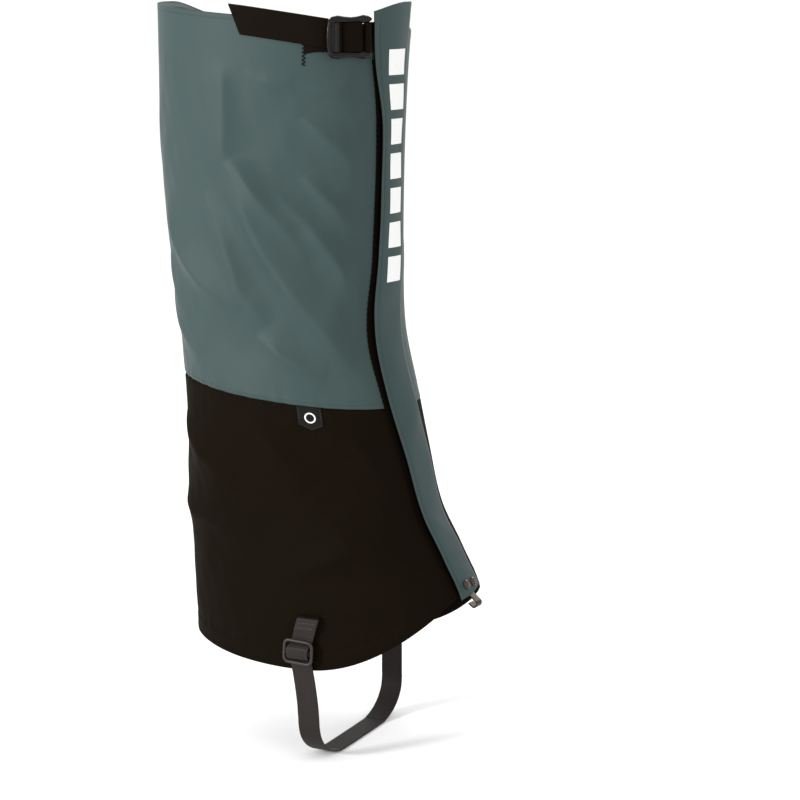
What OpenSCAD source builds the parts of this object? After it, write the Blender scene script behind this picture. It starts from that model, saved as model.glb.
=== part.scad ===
// Knee-high hiking gaiter for the right boot: a fabric leg tube that opens down the front under a
// hook-and-loop flap, a webbing strap and ladder lock at the top, a strap under the boot's instep
// and a metal hook for the boot's lace.
// Frame: +X towards the toe, -Y the outer side of the leg, +Z up. The origin is on the inner face
// of the instep strap, under the middle of the boot's sole.

/* [Leg tube] */
// How far the top edge lies behind the instep strap
top_back = 137.5; // [125:0.5:150]
// How far the top edge lies in front of the instep strap
top_front = 38; // [30:0.5:46]
// Half the width of the top edge
top_half = 70; // [64:0.5:76]
// How far the ankle lies behind the instep strap
ankle_back = 122; // [112:0.5:130]
// Half the width at the ankle
ankle_half = 60; // [56:0.5:64]
// How far the hem lies in front of the instep strap
boot_front = 92; // [84:0.5:100]
// How far the hem lies behind the instep strap
boot_back = 116; // [108:0.5:124]
// Half the width of the hem
boot_half = 62; // [60:0.5:66]
// Thickness of the panel fabric
fabric_t = 0.8; // [0.6:0.1:1.0]

/* [Edges] */
// Height of the top edge at the sides
rim_z = 504; // [490:1:512]
// How far the top edge dips on the inner side
inner_dip = 12; // [0:1:14]
// Height of the seam between the upper and lower fabric at the front
seam_z = 242; // [225:1:260]
// Height of the hem beside the boot
hem_z = 63; // [56:1:70]
// Height that the hem gains towards the instep
hem_rise = 55; // [40:1:60]

/* [Front flap] */
// Height of the flap's lower edge
flap_low = 113; // [110:1:118]
// Height of the flap's upper edge
flap_high = 506; // [495:1:512]
// Thickness of the flap's outer fabric
flap_t = 0.7; // [0.5:0.1:0.9]
// Width of the hook tape and of the loop tape
tape_w = 22; // [18:1:25]

/* [Top strap] */
// Width of the top strap's webbing
strap_w = 19; // [19:1:20]
// Thickness of the top strap's webbing
strap_t = 1.2; // [1.0:0.1:1.2]
// Length of the ladder lock, from its anchor bar to its lip
lock_l = 28.5; // [27:0.5:29]

/* [Instep strap] */
// Width of the instep strap
instep_w = 16; // [14:0.5:16]
// Thickness of the instep strap
instep_t = 1; // [0.8:0.1:1.0]
// Outer width of the slider
slider_w = 23; // [22:0.5:26]
// Outer height of the slider
slider_h = 17.5; // [17:0.5:20]

/* [Lace hook] */
// Radius inside the hook's bend, for the boot's lace
hook_r = 2; // [2:0.1:2.4]
// Width of the hook's tongue
hook_w = 7; // [6:0.5:8]

/* [Hidden] */

teal = [0.31, 0.40, 0.38];
black = [0.11, 0.09, 0.07];
webbing = [0.13, 0.10, 0.09];
rubbery = [0.23, 0.20, 0.19];
plastic = [0.16, 0.13, 0.12];
bronze = [0.42, 0.33, 0.26];

// Sections of the leg tube: [height, distance from the strap plane or half width]
back_line = [[60, boot_back], [110, boot_back + 1], [140, ankle_back - 3], [170, ankle_back],
    [210, ankle_back], [250, ankle_back], [290, ankle_back + 3], [330, top_back - 6.5],
    [400, top_back], [460, top_back], [515, top_back]];
front_line = [[60, boot_front], [110, boot_front], [140, boot_front - 14], [170, boot_front - 30],
    [210, boot_front - 40], [250, boot_front - 49], [290, top_front - 4], [330, top_front - 6],
    [400, top_front - 6], [460, top_front - 4], [515, top_front]];
half_line = [[60, boot_half], [110, boot_half], [170, ankle_half + 1], [250, ankle_half],
    [290, ankle_half], [330, ankle_half + 1], [400, top_half - 5], [460, top_half - 2],
    [515, top_half]];
// Edges of the flap: [height, Y]
free_line = [[100, -19], [150, -19], [190, -20], [250, -26], [305, -26], [345, -22], [430, -20.5],
    [480, -30], [515, -34]];
sewn_line = [[100, 10], [200, 9], [250, 4], [290, 4], [330, 8], [430, 10], [515, 12]];
// Roundness of every section: 2 is an ellipse
round_n = 2.2;
// Half the gap between the two front edges under the flap
front_gap = 1;
gap = 0.05;

function mix(a, b, t) = a + (b - a) * t;
function ease(t) = let(q = min(max(t, 0), 1)) q * q * (3 - 2 * q);
function unit2(v) = v / norm(v);

// A smooth curve through stations [position, value]
function span(st, z, i = 0) = i >= len(st) - 2 || z < st[i + 1][0] ? i : span(st, z, i + 1);
function slope(st, k) =
    let(a = max(k - 1, 0), b = min(k + 1, len(st) - 1))
    (st[b][1] - st[a][1]) / (st[b][0] - st[a][0]);
function curve(st, z) =
    let(q = min(max(z, st[0][0]), st[len(st) - 1][0]),
        i = span(st, q),
        h = st[i + 1][0] - st[i][0],
        t = (q - st[i][0]) / h)
    (2 * t ^ 3 - 3 * t ^ 2 + 1) * st[i][1] + (t ^ 3 - 2 * t ^ 2 + t) * h * slope(st, i)
        + (3 * t ^ 2 - 2 * t ^ 3) * st[i + 1][1] + (t ^ 3 - t ^ 2) * h * slope(st, i + 1);

// Point of the leg tube at angle a (0 toe, -90 outer side, 180 heel) and height z, d outside it
function power(x, p) = sign(x) * pow(abs(x), p);
function outward(a, z) =
    let(rx = (curve(front_line, z) + curve(back_line, z)) / 2,
        ry = curve(half_line, z),
        c = power(cos(a), 2 / round_n),
        s = power(sin(a), 2 / round_n))
    unit2([power(c, round_n - 1) / rx, power(s, round_n - 1) / ry]);
function skin(a, z, d) =
    let(f = curve(front_line, z),
        b = curve(back_line, z),
        c = power(cos(a), 2 / round_n),
        s = power(sin(a), 2 / round_n),
        n = outward(a, z))
    [(f - b) / 2 + (f + b) / 2 * c + d * n[0], curve(half_line, z) * s + d * n[1], z];
// Angle of the point of the front that lies at Y
function at_y(y, z) = asin(power(y / curve(half_line, z), round_n / 2));

function rim(a) =
    rim_z - 7 * cos(a) - inner_dip * ease(sin(a) / 0.75);
function mid_seam(a) = seam_z + 16 * pow((1 - cos(a)) / 2, 1.5);
function hem(a) = hem_z + (cos(a) > 0 ? hem_rise : 10) * cos(a) ^ 2;

// A closed slab between two surfaces of (u, v), with u counterclockwise round the leg and v up
module slab(nu, nv, inner, outer) {
    m = nv + 1;
    n = (nu + 1) * m;
    points = [for (f = [outer, inner]) for (i = [0:nu]) for (j = [0:nv]) f(i / nu, j / nv)];
    quads = concat(
        [for (i = [0:nu - 1]) for (j = [0:nv - 1]) let(k = i * m + j) [k, k + 1, k + m + 1, k + m]],
        [for (i = [0:nu - 1]) for (j = [0:nv - 1]) let(k = n + i * m + j)
            [k, k + m, k + m + 1, k + 1]],
        [for (i = [0:nu - 1]) let(k = i * m) [k, k + m, n + k + m, n + k]],
        [for (i = [0:nu - 1]) let(k = i * m + nv) [k, n + k, n + k + m, k + m]],
        [for (j = [0:nv - 1]) [j, n + j, n + j + 1, j + 1]],
        [for (j = [0:nv - 1]) let(k = nu * m + j) [k, k + 1, n + k + 1, n + k]]);
    polyhedron(points, [for (q = quads) each [[q[0], q[1], q[2]], [q[0], q[2], q[3]]]],
        convexity = 8);
}

// A slab on the leg tube from angle(0, v) to angle(1, v) and from low(a) to high(a)
module patch(nu, nv, from, to, low, high, d_in, d_out) {
    place = function(d) function(u, v)
        let(z0 = mix(low(from(0)), high(from(0)), v),
            a = mix(from(z0), to(z0), u))
        skin(a, mix(low(a), high(a), v), d);
    slab(nu, nv, place(d_in), place(d_out));
}

// Stations of a band of webbing that stands on edge: [lower x, y, upper x, y, centre z]
function on_skin(a, z, d) =
    let(b = skin(a, z - strap_w / 2, d), t = skin(a, z + strap_w / 2, d))
    [b[0], b[1], t[0], t[1], z];
function upright(p) = [p[0], p[1], p[0], p[1], p[2]];

// A band of webbing strap_w wide and t thick through such stations
module ribbon(path, t) {
    last = len(path) - 1;
    function side(i) =
        let(v = path[min(i + 1, last)] - path[max(i - 1, 0)])
        unit2([v[1] + v[3], -v[0] - v[2]]);
    face = function(s) function(u, v)
        let(i = round(u * last), p = path[i], n = side(i) * s * t / 2)
        [mix(p[0], p[2], v) + n[0], mix(p[1], p[3], v) + n[1], p[4] + (v - 0.5) * strap_w];
    slab(last, 1, face(-1), face(1));
}

// A band of webbing whose width lies along X: it follows a path [centre x, y, z]
module band(path, w, t) {
    last = len(path) - 1;
    function side(i) =
        let(v = path[min(i + 1, last)] - path[max(i - 1, 0)])
        unit2([v[2], -v[1]]);
    face = function(s) function(u, v)
        let(i = round(u * last), n = side(i) * s * t / 2)
        [path[i][0] + (v - 0.5) * w, path[i][1] + n[0], path[i][2] + n[1]];
    slab(last, 1, face(-1), face(1));
}

outer_front = function(z) at_y(-front_gap, z);
inner_front = function(z) at_y(front_gap, z);
heel_left = function(z) -180;
heel_right = function(z) 180;
once_round = function(z) 360 + at_y(-front_gap, z);
rim_of = function(a) rim(a);
seam_of = function(a) mid_seam(a);
hem_of = function(a) hem(a);

// --- Leg tube ---

exit_a = -59;
exit_h = 24;

module upper_outer_panel() {
    color(teal)
    difference() {
        patch(22, 18, heel_left, outer_front, seam_of, rim_of, 0, fabric_t);
        // Slit that the top strap leaves its tunnel by
        slit = skin(exit_a + 4.5, strap_mid(exit_a + 2), 0);
        translate(slit)
        rotate([0, 0, exit_a + 8])
        cube([8, 15, strap_w + 3], center = true);
    }
}

module upper_inner_panel() {
    color(teal)
    patch(22, 18, inner_front, heel_right, seam_of, rim_of, 0, fabric_t);
}

module lower_outer_panel() {
    color(black)
    patch(24, 14, heel_left, outer_front, hem_of, seam_of, 0, fabric_t);
}

module lower_inner_panel() {
    color(black)
    patch(24, 14, inner_front, heel_right, hem_of, seam_of, 0, fabric_t);
}

// Tape over the back seam's inside, clear of the tunnel and of the hem's facing
module back_seam_tape() {
    color(black)
    patch(3, 26, function(z) 175.5, function(z) 184.5, function(a) hem_z + 26,
        function(a) rim_z - 26, -1.5, -0.95);
}

// Tape over the inside of the seam between the two fabrics
module mid_seam_tape() {
    color(black)
    patch(48, 1, inner_front, once_round, function(a) mid_seam(a) - 6,
        function(a) mid_seam(a) + 6, -0.75, -0.25);
}

// --- Top tunnel ---

tunnel_h = 28;
function tunnel_mid(a) = rim(a) - 14.5;

// Facing sewn inside the top edge along its upper and lower edges: the strap runs behind it
module top_tunnel_facing() {
    levels = [0, 0.04, 0.1, 0.9, 0.96, 1];
    sag = [0.55, 1.4, 2.7, 2.7, 1.4, 0.55];
    face = function(d) function(u, v)
        let(a = mix(at_y(8, rim_z), 360 + exit_a - 2, u), j = round(v * 5))
        skin(a, rim(a) - 1 - tunnel_h * (1 - levels[j]), d - sag[j]);
    color(teal)
    slab(56, 5, face(0), face(0.4));
}

// Height of the strap's middle: it climbs from the tunnel to the ladder lock
function strap_mid(a) = mix(tunnel_mid(a), lock_z, ease((a - exit_a + 8) / 14));

// Webbing round the leg inside the tunnel, out by the slit and on to the ladder lock
module top_strap() {
    inside = [for (a = [at_y(11, rim_z):5:360 + exit_a - 6]) on_skin(a, tunnel_mid(a), -1.15)];
    crossing = [[exit_a - 2, -1.1], [exit_a + 1, -0.7], [exit_a + 4, 0.3], [exit_a + 7, 1.3],
        [exit_a + 10, 1.65]];
    outside = [for (c = crossing) on_skin(c[0], strap_mid(c[0]), c[1])];
    to_lock = [for (a = [exit_a + 14:4:lock_a - 6]) on_skin(a, strap_mid(a), 1.75)];
    color(webbing)
    ribbon(concat(inside, outside, to_lock), strap_t);
}

// Dense zigzag of thread that ends the tunnel beside the slit
module strap_exit_bartack() {
    color(black)
    for (i = [0:9]) {
        z = tunnel_mid(exit_a) - exit_h / 2 + 1 + i * 2.4;
        p = skin(exit_a - 0.5, z, 1.15);
        translate(p)
        rotate([i % 2 == 0 ? 32 : -32, 0, exit_a - 2])
        cube([0.5, 3.2, 0.9], center = true);
    }
}

// --- Hem, tapes and label ---

module hem_facing() {
    color(black)
    patch(48, 1, inner_front, once_round, function(a) hem(a) + 0.6,
        function(a) hem(a) + 13, -0.9, -0.2);
}

tape_low = 135;
tape_high = 470;

// Soft half of the closure, sewn to the outer panel's front edge: it shows beside the flap
module loop_tape() {
    color(black)
    patch(5, 26, function(z) at_y(curve(free_line, z) - 2.5, z),
        function(z) at_y(min(curve(free_line, z) - 2.5 + tape_w, -1.4), z),
        function(a) tape_low, function(a) tape_high, fabric_t + 0.1, 1.65);
}

label_from = -74;
label_to = -62;
label_h = 12.5;
label_point = 3.5;

module woven_label() {
    color(black)
    patch(8, 3, function(z) label_from, function(z) label_to,
        function(a) mid_seam(a) - label_h
            - label_point * (1 - abs(2 * (a - label_from) / (label_to - label_from) - 1)),
        function(a) mid_seam(a) - 0.3, fabric_t + gap, 1.35);
}

// Plain ring woven in the middle of the label
module label_mark() {
    a = (label_from + label_to) / 2;
    p = skin(a, mid_seam(a) - 7.4, 1.55);
    n = outward(a, p[2]);
    color("white")
    translate(p)
    rotate([0, 90, atan2(n[1], n[0])])
    difference() {
        cylinder(h = 0.3, r = 3.6, $fn = 48);
        translate([0, 0, -1])
        cylinder(h = 3, r = 2.7, $fn = 48);
    }
}

// --- Front flap ---

flap_d = 3.4;
facing_t = 0.4;

// Distance of the flap's back from the leg tube: down to the sewn edge, and flared at the top
function flap_off(u, z) =
    mix(flap_d + 2.4 * ease((z - 455) / 60) * (1 - u), fabric_t + 0.35, ease((u - 0.78) / 0.22));
function flap_point(u, z, d) =
    let(y = mix(curve(free_line, z), curve(sewn_line, z), u))
    skin(at_y(y, z), z, flap_off(u, z) + d);
function flap_z(u, v) =
    mix(flap_low + 7 * u, flap_high + 5.5 * u + 2.5 * sin(180 * u), v);

module flap_layer(d_in, d_out) {
    face = function(d) function(u, v) flap_point(u, flap_z(u, v), d);
    slab(9, 34, face(d_in), face(d_out));
}

module front_flap() {
    color(teal)
    flap_layer(facing_t + gap, facing_t + gap + flap_t);
}

module flap_facing() {
    color(black)
    flap_layer(0, facing_t);
}

// Hooked half of the closure, under the flap
module hook_tape() {
    face = function(d) function(u, v)
        let(z = mix(tape_low, tape_high - 4, v),
            f = curve(free_line, z),
            w = mix(1.5, 1.5 + tape_w - 4, u) / (curve(sewn_line, z) - f))
        flap_point(min(w, 0.76), z, d);
    color(black)
    slab(4, 30, face(-1.0), face(-0.35));
}

// Column of plain reflective blocks down the upper flap
module flap_reflective_print() {
    block_h = 17;
    pitch = 23;
    color("white")
    for (i = [0:6]) {
        z0 = 326 + i * pitch;
        face = function(d) function(u, v) flap_point(mix(0.26, 0.72, u), z0 + v * block_h, d);
        slab(3, 3, face(facing_t + flap_t + 0.2), face(facing_t + flap_t + 0.32));
    }
}

// --- Lace hook ---

hook_z = 119;
// The flap leans back here: its slope in the XZ plane
hook_lean = 23;
plate_t = 0.9;
plate_w = 13;
// Room between the flat plate and the curved flap
plate_gap = 0.8;
rivet_z = 121.5;
rivet_half = 4.5;

// Stands its children on the back of the flap's lower end: x outward, y across, z up the flap
module on_hook() {
    translate(flap_point(0.42, hook_z, -plate_gap))
    rotate([0, -hook_lean, -4])
    children();
}

module lace_hook() {
    bend = hook_r + plate_t;
    drop = 11;
    knee = 3.5;
    tongue_lean = 28;
    color(bronze)
    on_hook()
    difference() {
        union() {
            // Plate behind the flap
            translate([-plate_t, -plate_w / 2, -4])
            cube([plate_t, plate_w, 12]);
            // Tongue, set forward below the flap
            translate([0, 0, -knee])
            rotate([0, -tongue_lean, 0])
            translate([0, 0, knee]) {
                translate([-plate_t, -hook_w / 2, -drop])
                cube([plate_t, hook_w, drop - knee + 0.4]);
                // Bend that holds the lace, and the tip that points up again
                translate([-bend, 0, -drop])
                rotate([90, 0, 0])
                intersection() {
                    difference() {
                        cylinder(h = hook_w, r = bend, center = true, $fn = 64);
                        cylinder(h = hook_w + 2, r = hook_r, center = true, $fn = 64);
                    }
                    translate([-bend - 1, -bend - 1, -hook_w])
                    cube([2 * bend + 2, bend + 1, 2 * hook_w]);
                }
                translate([-2 * bend, -hook_w / 2, -drop])
                cube([plate_t, hook_w, 3]);
            }
        }
        for (y = [-rivet_half, rivet_half])
            translate([-2, y, rivet_z - hook_z])
            rotate([0, 90, 0])
            cylinder(h = 4, r = 1.3, $fn = 32);
    }
}

// Two rivets with low domed heads on the flap and flat feet behind the plate
module lace_hook_rivets() {
    head_d = plate_gap + facing_t + flap_t + 0.15;
    color("silver")
    on_hook()
    for (y = [-rivet_half, rivet_half])
        translate([0, y, rivet_z - hook_z])
        rotate([0, 90, 0]) {
            translate([0, 0, head_d])
            rotate_extrude($fn = 40)
            polygon([[0, 0], [3.3, 0], [3.2, 0.45], [2.5, 0.95], [1.3, 1.2], [0, 1.25]]);
            translate([0, 0, -plate_t - 0.5])
            cylinder(h = head_d + plate_t + 0.6, r = 1.2, $fn = 32);
            translate([0, 0, -plate_t - 0.6])
            cylinder(h = 0.5, r = 2.4, $fn = 32);
        }
}

// --- Ladder lock and its webbing ---

lock_a = -28.5;
lock_z = 489.5;
lock_d = 4.7;
lip_d = 8.5;
lip_a = -51.5;
bar_r = 1.5;
lock_half = 13.6;
rail_w = 2.4;
anchor_at = skin(lock_a, lock_z, lock_d);
lip_at = skin(lip_a, lock_z, lip_d);
lock_dir = unit2([anchor_at[0] - lip_at[0], anchor_at[1] - lip_at[1]]);
lock_turn = atan2(lock_dir[1], lock_dir[0]);

// Plan point of the lock: x along it from the anchor bar, y away from the leg
function lock_point(p) =
    [anchor_at[0] + p[0] * lock_dir[0] + p[1] * lock_dir[1],
     anchor_at[1] + p[0] * lock_dir[1] - p[1] * lock_dir[0],
     lock_z];

module on_lock() {
    translate(anchor_at)
    rotate([0, 0, lock_turn])
    mirror([0, 1, 0])
    children();
}

// A round-ended bar or plate seen from its end: circles [x, y, r] joined one to the next
module bar_chain(circles, h) {
    linear_extrude(h, center = true)
    for (i = [0:len(circles) - 2])
        hull()
        for (c = [circles[i], circles[i + 1]])
            translate([c[0], c[1]])
            circle(r = c[2], $fn = 32);
}

module ladder_lock() {
    color(plastic)
    on_lock() {
        cylinder(h = 2 * lock_half - 1, r = bar_r, center = true, $fn = 48);
        bar_chain([[-14.1, 0.1, 1.2], [-7.2, 0.1, 1.2]], 2 * lock_half - 1);
        bar_chain([[-21, 0.3, 1.2], [-24.4, 1.5, 1.5], [1.3 - lock_l, 2.9, 1.2]],
            2 * lock_half - 1);
        for (side = [-1, 1])
            translate([0, 0, side * (lock_half - rail_w / 2)])
            bar_chain([[0, 0, 1.9], [-10, 0.6, 1.7], [-24.4, 1.4, 1.6]], rail_w);
    }
}

// Short double webbing from the inner panel's front edge, under the flap, round the anchor bar
module buckle_anchor_loop() {
    loop_t = 0.8;
    loop_r = bar_r + 0.1 + loop_t / 2;
    under = [for (y = [6:-4:-26]) on_skin(at_y(y, lock_z), lock_z, 1.35)];
    into = [[3.6, -3.2], [1.8, -2.5]];
    round_bar = [for (t = [-100:-20:-300]) [loop_r * cos(t), loop_r * sin(t)]];
    out = [[2.3, 0.7], [3.3, -0.5], [4.6, -1.9]];
    over = [for (y = [-26:4:-8]) on_skin(at_y(y, lock_z), lock_z, 2.4)];
    turn = [for (p = concat(into, round_bar, out)) upright(lock_point(p))];
    color(webbing)
    ribbon(concat(under, turn, over), loop_t);
}

// The same webbing where it passes up over the lock's centre bar and down under its lip
module top_strap_loop() {
    path = [[-6.4, -2.1], [-5.2, -1.9], [-4.4, -1.2], [-4.1, 0], [-4.5, 1], [-5.4, 1.75],
        [-7.2, 2.1], [-10.6, 2.15], [-14.1, 2.1], [-15.9, 1.6], [-17, 0.5], [-17.6, -0.8],
        [-18.6, -1.7], [-20.2, -2.05], [-22.4, -2.1]];
    color(webbing)
    ribbon([for (p = path) upright(lock_point(p))], strap_t);
}

// Free end of the webbing, cut on the slant
tail_from = -49.5;
tail_to = -87.3;
tail_slant = 4.3;

module top_strap_tail() {
    face = function(s) function(u, v)
        let(a = mix(tail_to - tail_slant * v, tail_from, u),
            t = (a - tail_from) / (tail_to - tail_from),
            z = mix(492, 500.5, t) + (v - 0.5) * strap_w,
            d = mix(4.15, 1.8, ease(t * 2.2)))
        skin(a, z, d + s * strap_t / 2);
    color(webbing)
    slab(18, 1, face(-1), face(1));
}

// --- Instep strap ---

// Outer face of the panels beside the boot
side_y = boot_half + fabric_t;
slider_z = 77;
slider_x = -8.5;
tab_top = 104;
// Height and width of the strap's bends under the sole
sole_r = 24;
sole_reach = 36;
strap_out = 1.6;
strap_lean = [[0, 0], [23, -2], [38, -3], [51, -4.6], [66, -6.8], [77, slider_x], [86, -6.1],
    [94, -3.6], [102, -1.1], [110, 1]];

// Point of the outer side: v above the slider's middle and o outside the panel
function side_point(p) =
    [curve(strap_lean, slider_z + p[0]), -side_y - p[1], slider_z + p[0]];

// Doubled webbing, sewn to the lower outer panel, that holds the slider's centre bar
module instep_tab() {
    path = [[25, 1.75], [20, 1.75], [12, 1.75], [8, 1.7], [5, 2.6], [3.6, 4.4], [2.7, 5.6],
        [1.5, 6.05], [-1.5, 6.05], [-2.4, 5.7], [-2.75, 4.8], [-2.4, 3.9], [-1.5, 3.55],
        [1, 3.4], [3, 2.35], [6.5, 0.85], [12, 0.8], [20, 0.8], [25, 0.8]];
    color(webbing)
    band([for (p = path) side_point(p)], instep_w - 1, 0.8);
}

// One strap: sewn to the lower inner panel, under the sole, up through the slider, and its tail
// folded over and stitched above it
module instep_strap() {
    inner_y = side_y + 1;
    centre_y = side_y + strap_out - sole_reach;
    inner_side = [for (z = [100:-10:30]) [curve(strap_lean, 0), inner_y, z]];
    inner_bend = [for (t = [0:-15:-90])
        [0, inner_y - sole_reach + sole_reach * cos(t), sole_r - instep_t / 2 + sole_r * sin(t)]];
    outer_bend = [for (t = [-90:-15:-180])
        let(z = sole_r - instep_t / 2 + sole_r * sin(t))
        [curve(strap_lean, z), -centre_y + sole_reach * cos(t), z]];
    side = [for (p = [[-47, strap_out], [-38, strap_out], [-28, strap_out], [-18, 1.9],
        [-12, 2.4], [-8, 2.7], [-6.1, 3.2], [-5.2, 4.6], [-4.3, 6], [-3, 6.85], [-1.4, 7.1],
        [1.6, 7.1], [3.1, 6.6], [4.5, 5.1], [5.5, 3.9], [6.5, 3.05], [8.4, 2.7], [13, 2.7],
        [18, 2.7], [22, 2.7], [23.1, 3], [23.5, 3.3], [23.1, 3.7], [22, 3.85], [15, 3.85]])
        side_point(p)];
    color(rubbery)
    band(concat(inner_side, inner_bend, outer_bend, side), instep_w, instep_t);
}

module strap_slider() {
    frame_w = 2.4;
    frame_h = 2.1;
    thick = 2.6;
    translate([slider_x, -side_y - 5.1, slider_z])
    color(plastic)
    rotate([90, 0, 0]) {
        linear_extrude(thick, center = true)
        difference() {
            offset(r = 4, $fn = 32)
            square([slider_w - 8, slider_h - 8], center = true);
            square([slider_w - 2 * frame_w, slider_h - 2 * frame_h], center = true);
        }
        for (v = [-1.5, 1.5])
            translate([0, v, -0.3])
            rotate([0, 90, 0])
            cylinder(h = slider_w - 2, r = 0.7, center = true, $fn = 32);
        translate([0, 0, -0.3])
        cube([slider_w - 2, 3, 1.4], center = true);
    }
}

// Thread: two rows across the tail's folded end, and two across the strap's sewn inner end
module strap_stitching() {
    color([0.3, 0.27, 0.26])
    for (row = [17, 20.5])
        for (i = [-2:2]) {
            translate(side_point([row, 4.6]) + [i * 2.8, 0, 0])
            cube([1.9, 0.3, 0.5], center = true);
            translate([i * 2.8, side_y + 1.7, slider_z + row - 5])
            cube([1.9, 0.3, 0.5], center = true);
        }
}

upper_outer_panel();
upper_inner_panel();
lower_outer_panel();
lower_inner_panel();
back_seam_tape();
mid_seam_tape();
top_tunnel_facing();
hem_facing();
loop_tape();
top_strap();
strap_exit_bartack();
buckle_anchor_loop();
woven_label();
label_mark();
front_flap();
flap_facing();
hook_tape();
flap_reflective_print();
lace_hook();
lace_hook_rivets();
ladder_lock();
top_strap_loop();
top_strap_tail();
instep_tab();
instep_strap();
strap_slider();
strap_stitching();
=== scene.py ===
import math

import bpy
import numpy as np
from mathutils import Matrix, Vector


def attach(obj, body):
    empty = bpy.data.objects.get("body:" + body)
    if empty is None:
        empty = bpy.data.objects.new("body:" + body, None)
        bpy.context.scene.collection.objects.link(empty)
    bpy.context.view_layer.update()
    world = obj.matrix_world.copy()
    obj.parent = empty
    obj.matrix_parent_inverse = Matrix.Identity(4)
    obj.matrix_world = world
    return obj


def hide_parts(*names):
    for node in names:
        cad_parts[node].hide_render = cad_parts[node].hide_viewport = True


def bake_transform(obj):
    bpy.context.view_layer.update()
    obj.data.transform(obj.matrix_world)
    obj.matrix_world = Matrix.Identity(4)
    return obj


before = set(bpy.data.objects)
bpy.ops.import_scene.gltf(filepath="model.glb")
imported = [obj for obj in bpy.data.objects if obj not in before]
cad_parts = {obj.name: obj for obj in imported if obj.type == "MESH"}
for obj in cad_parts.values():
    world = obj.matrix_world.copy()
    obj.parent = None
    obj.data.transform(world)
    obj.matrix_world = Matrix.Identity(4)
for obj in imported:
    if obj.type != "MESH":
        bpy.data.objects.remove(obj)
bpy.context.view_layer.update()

# All shape functions work in millimetres, in the CAD's frame. Angles are degrees: 0 is the toe,
# -90 the outer side and 180 the heel.
MM = 0.001

# Camera: a view from the outer side, a little in front and above
CAMERA_AT = (0.7023, -1.4282, 0.5352)
CAMERA_TARGET = (0.0291, 0.0154, 0.2400)
CAMERA_LENS = 105.5
SENSOR = 36.0

# --- The leg tube's shape, as the CAD has it ---

BACK_LINE = ((60, 116), (110, 117), (140, 119), (170, 122), (210, 122), (250, 122), (290, 125),
             (330, 131), (400, 137.5), (460, 137.5), (515, 137.5))
FRONT_LINE = ((60, 92), (110, 92), (140, 78), (170, 62), (210, 52), (250, 43), (290, 34),
              (330, 32), (400, 32), (460, 34), (515, 38))
HALF_LINE = ((60, 62), (110, 62), (170, 61), (250, 60), (290, 60), (330, 61), (400, 65),
             (460, 68), (515, 70))
FREE_LINE = ((100, -19), (150, -19), (190, -20), (250, -26), (305, -26), (345, -22),
             (430, -20.5), (480, -30), (515, -34))
SEWN_LINE = ((100, 10), (200, 9), (250, 4), (290, 4), (330, 8), (430, 10), (515, 12))
ROUND_N = 2.2
RIM_Z = 504
HEM_Z = 63
FABRIC_T = 0.8
FRONT_GAP = 1
STRAP_W = 19
STRAP_T = 1.2
TUNNEL_H = 29
# Rows of stitches: above the hem's fold, and above a seam or an edge
HEM_STITCH = 12.5
EDGE_STITCH = 2.6


def mix(a, b, t):
    return a + (b - a) * t


def ease(t):
    q = np.clip(t, 0, 1)
    return q * q * (3 - 2 * q)


def bump(x, width):
    return np.exp(-(x / width) ** 2)


def curve(stations, z):
    """Value at height z of the smooth curve through stations."""
    st = np.array(stations, float)
    z = np.clip(np.asarray(z, float), st[0, 0], st[-1, 0])
    i = np.clip(np.searchsorted(st[:, 0], z, side="right") - 1, 0, len(st) - 2)
    ahead = np.minimum(np.arange(len(st)) + 1, len(st) - 1)
    behind = np.maximum(np.arange(len(st)) - 1, 0)
    slope = (st[ahead, 1] - st[behind, 1]) / (st[ahead, 0] - st[behind, 0])
    h = st[i + 1, 0] - st[i, 0]
    t = (z - st[i, 0]) / h
    return ((2 * t ** 3 - 3 * t ** 2 + 1) * st[i, 1] + (t ** 3 - 2 * t ** 2 + t) * h * slope[i]
            + (3 * t ** 2 - 2 * t ** 3) * st[i + 1, 1] + (t ** 3 - t ** 2) * h * slope[i + 1])


def power(x, p):
    return np.sign(x) * np.abs(x) ** p


def skin(a, z, d):
    """Point at angle a and height z, d outside the tube's inner face."""
    a, z, d = np.broadcast_arrays(np.asarray(a, float), np.asarray(z, float),
                                  np.asarray(d, float))
    front = curve(FRONT_LINE, z)
    back = curve(BACK_LINE, z)
    half = curve(HALF_LINE, z)
    c = power(np.cos(np.radians(a)), 2 / ROUND_N)
    s = power(np.sin(np.radians(a)), 2 / ROUND_N)
    nx = power(c, ROUND_N - 1) / ((front + back) / 2)
    ny = power(s, ROUND_N - 1) / half
    size = np.hypot(nx, ny)
    x = (front - back) / 2 + (front + back) / 2 * c + d * nx / size
    return np.stack([x, half * s + d * ny / size, z], -1)


def at_y(y, z):
    """Angle of the point of the front that lies at y."""
    return np.degrees(np.arcsin(power(y / curve(HALF_LINE, z), ROUND_N / 2)))


def rim(a):
    return RIM_Z - 7 * np.cos(np.radians(a)) - 12 * ease(np.sin(np.radians(a)) / 0.75)


def tunnel_mid(a):
    return rim(a) - TUNNEL_H / 2


def mid_seam(a):
    return 242 + 16 * ((1 - np.cos(np.radians(a))) / 2) ** 1.5


def hem(a):
    c = np.cos(np.radians(a))
    return HEM_Z + np.where(c > 0, 55, 10) * c * c


# --- Folds of the cloth ---

# Every height in FOLDS is multiplied by this
FOLD_GAIN = 4.2
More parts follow.
